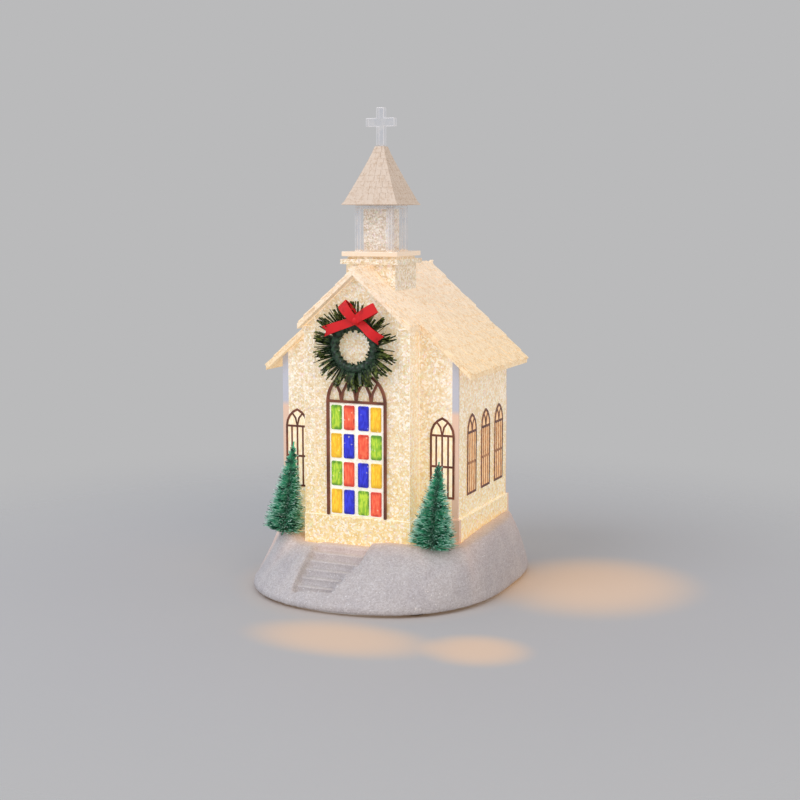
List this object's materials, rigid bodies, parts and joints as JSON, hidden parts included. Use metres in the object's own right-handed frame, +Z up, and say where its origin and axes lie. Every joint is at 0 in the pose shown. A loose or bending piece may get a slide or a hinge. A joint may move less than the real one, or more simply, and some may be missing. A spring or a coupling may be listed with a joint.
{
  "type": "lighted church figurine",
  "caption": "Church figurine on a snow drift, with a clear liquid-filled nave, stained glass door, wreath, brush trees, spire and a hollow base that hides its light and stirrer.",
  "frame": {"origin": "centre of the footprint on the table, at the undersides of the feet", "axes": "+Z up, the door and the steps face -Y, +X to the right of someone who looks at the door"},
  "size_m": [0.142, 0.159, 0.2618],
  "materials": {
    "snow": "moulded shell with a fine glitter snow coat",
    "clear": "clear moulded acrylic",
    "roof": "frosted translucent shingles",
    "steeple": "frosted translucent with glitter",
    "cap": "glitter snow coat on shingles",
    "frame_paint": "dark brown paint",
    "stained_glass": "translucent painted panes",
    "needles": "green needle strands on wire",
    "ribbon": "red satin ribbon",
    "tree": "teal bristles with frosted tips",
    "white_plastic": "moulded, fine texture",
    "rubber": "soft foot and gasket rubber",
    "steel": "plated steel",
    "cell": "plain wrapped cell",
    "board": "printed board",
    "lamp": "clear warm white lamp",
    "black_plastic": "moulded",
    "magnet": "plated magnet",
    "lead_red": "insulated twin lead",
    "lead_black": "insulated lead"
  },
  "bodies": {
    "figurine": {"snow_base": "snow", "base_plate": "white_plastic", "switch_body": "black_plastic", "foot_1": "rubber", "foot_2": "rubber", "foot_3": "rubber", "foot_4": "rubber", "plate_screw_1": "steel", "plate_screw_2": "steel", "plate_screw_3": "steel", "plate_screw_4": "steel", "cell_1": "cell", "cell_2": "cell", "cell_3": "cell", "contact_negative": "steel", "contact_bridge_1": "steel", "contact_bridge_2": "steel", "contact_positive": "steel", "circuit_board": "board", "led_1": "lamp", "led_2": "lamp", "positive_lead": "lead_red", "negative_lead": "lead_black", "motor_lead": "lead_red", "switch_lead": "lead_black", "motor_can": "steel", "motor_clamp": "white_plastic", "chamber_floor": "clear", "floor_seal": "rubber", "filler_plug": "rubber", "church_walls": "clear", "main_roof": "roof", "bay_roof": "roof", "steeple_neck": "steeple", "belfry_frame": "clear", "belfry_core": "steeple", "spire_cap": "cap", "cross": "clear", "door_frame": "frame_paint", "door_glass": "stained_glass", "wreath": "needles", "bow": "ribbon", "front_window_left": "frame_paint", "front_window_right": "frame_paint", "side_window_right_1": "frame_paint", "side_window_left_1": "frame_paint", "side_window_right_2": "frame_paint", "side_window_left_2": "frame_paint", "side_window_right_3": "frame_paint", "side_window_left_3": "frame_paint", "tree_left": "tree", "tree_right": "tree"},
    "battery_hatch": {"battery_door": "white_plastic"},
    "hatch_screw": {"door_screw": "steel"},
    "switch_slider": {"switch_knob": "black_plastic"},
    "rotor": {"motor_shaft": "steel", "magnet_holder": "white_plastic", "drive_magnet": "magnet"},
    "stirrer": {"impeller": "clear", "impeller_magnet": "magnet"}
  },
  "joints": [
    {"name": "battery_door_hinge", "type": "hinge", "parent": "figurine", "child": "battery_hatch", "pos_m": [-0.0024, 0.0101, 0.0014], "axis": [1, 0, 0], "range_deg": [0, 30]},
    {"name": "door_screw_turn", "type": "hinge", "parent": "battery_hatch", "child": "hatch_screw", "pos_m": [-0.0024, -0.0391, 0.0015], "axis": [0, 0, -1], "range_deg": [0, 1080]},
    {"name": "switch_slide", "type": "slide", "parent": "figurine", "child": "switch_slider", "axis": [0, 1, 0], "range_m": [0, 0.004]},
    {"name": "rotor_spin", "type": "hinge", "parent": "figurine", "child": "rotor", "pos_m": [-0.0024, 0.026, 0.03], "axis": [0, 0, 1], "continuous": true},
    {"name": "stirrer_spin", "type": "hinge", "parent": "figurine", "child": "stirrer", "pos_m": [-0.0024, 0.026, 0.041], "axis": [0, 0, 1], "continuous": true}
  ],
  "couplings": [
    {"joint": "stirrer_spin", "follows": "rotor_spin", "ratio": 1}
  ]
}
